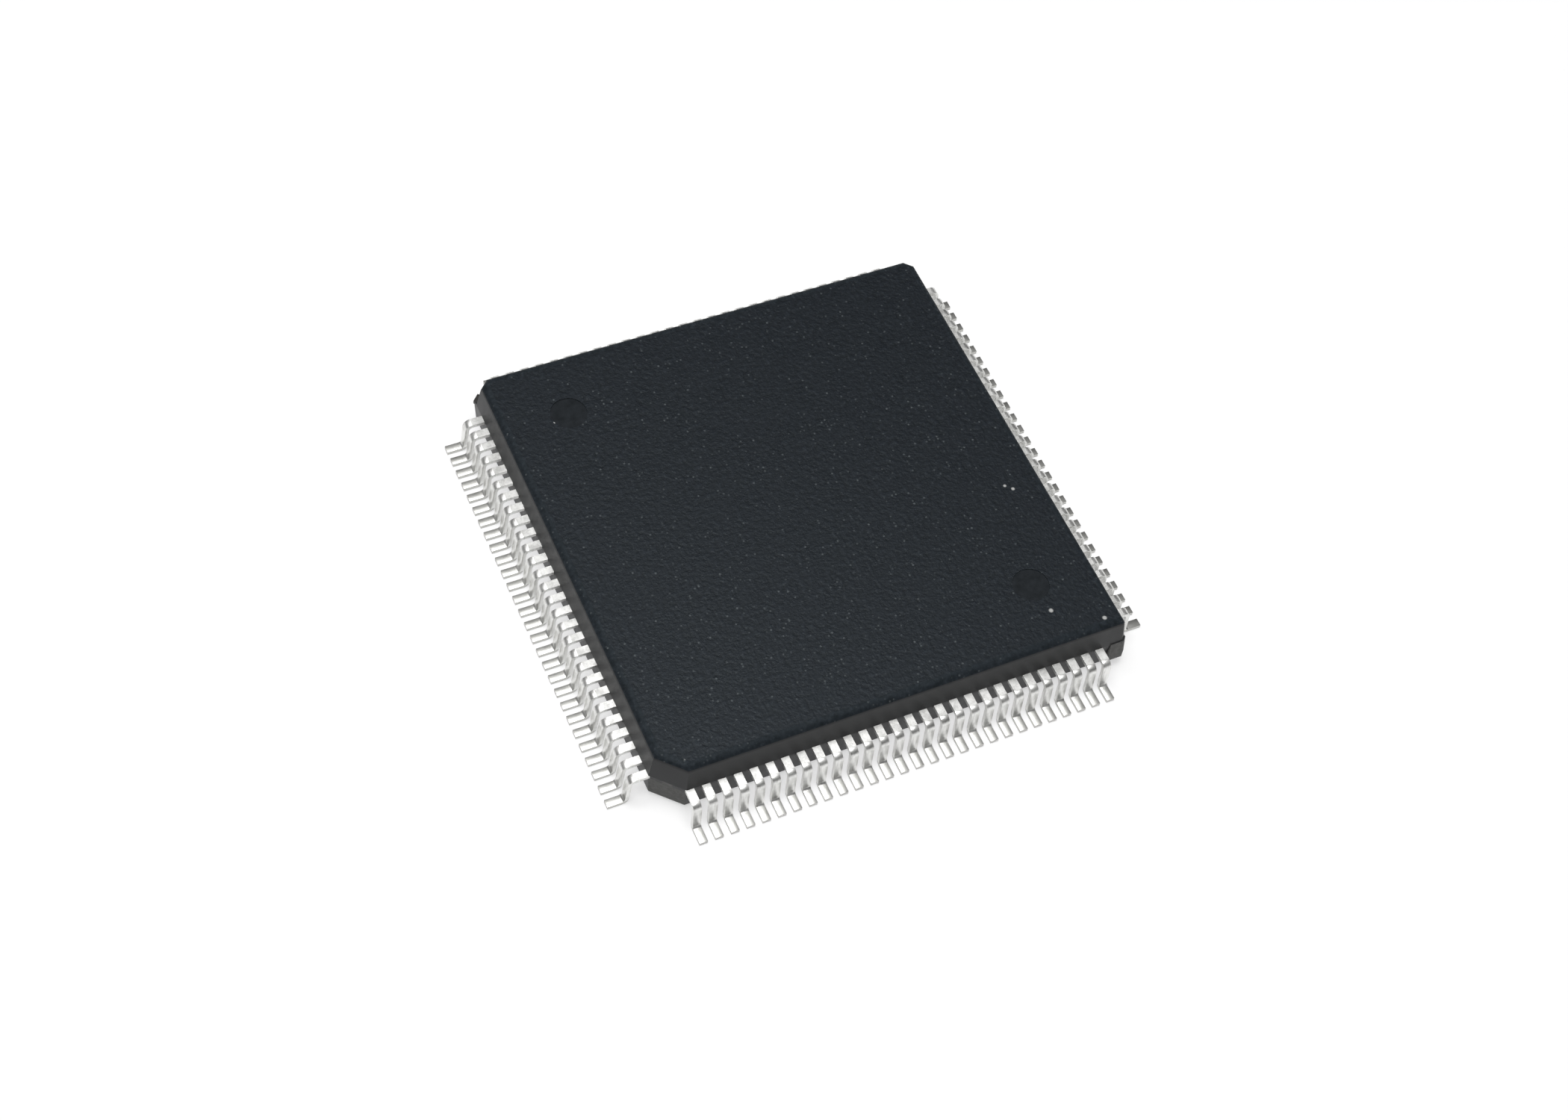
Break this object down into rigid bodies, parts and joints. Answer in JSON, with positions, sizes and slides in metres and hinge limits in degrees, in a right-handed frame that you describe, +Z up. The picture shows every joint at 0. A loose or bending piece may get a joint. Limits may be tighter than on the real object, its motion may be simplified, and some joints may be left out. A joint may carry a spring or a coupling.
{
  "type": "integrated circuit",
  "caption": "Square quad flat package: a dark moulded body with a row of gull-wing leads on each side, for soldering flat on a circuit board.",
  "frame": {"origin": "middle of the package on the plane that the feet of the leads stand on", "axes": "+Z up out of the top face, +X along the front row of leads, +Y from the front row to the back row; the index corner with the large chamfer is at minus X, minus Y"},
  "size_m": [0.0232, 0.0232, 0.0028],
  "materials": {
    "mould_compound": "fine matt grain on top, smoother on the sides",
    "tinned_leads": "satin tin plate",
    "lead_frame_copper": "bare stamped copper alloy",
    "die_adhesive": "cured silver-filled epoxy",
    "silicon": "polished",
    "gold_wire": "bright drawn wire"
  },
  "bodies": {
    "root": {"die_pad": "lead_frame_copper", "die_attach": "die_adhesive", "silicon_die": "silicon", "front_leads": "tinned_leads", "right_leads": "tinned_leads", "back_leads": "tinned_leads", "left_leads": "tinned_leads", "front_bond_wires": "gold_wire", "right_bond_wires": "gold_wire", "back_bond_wires": "gold_wire", "left_bond_wires": "gold_wire", "moulded_body": "mould_compound"}
  },
  "joints": []
}
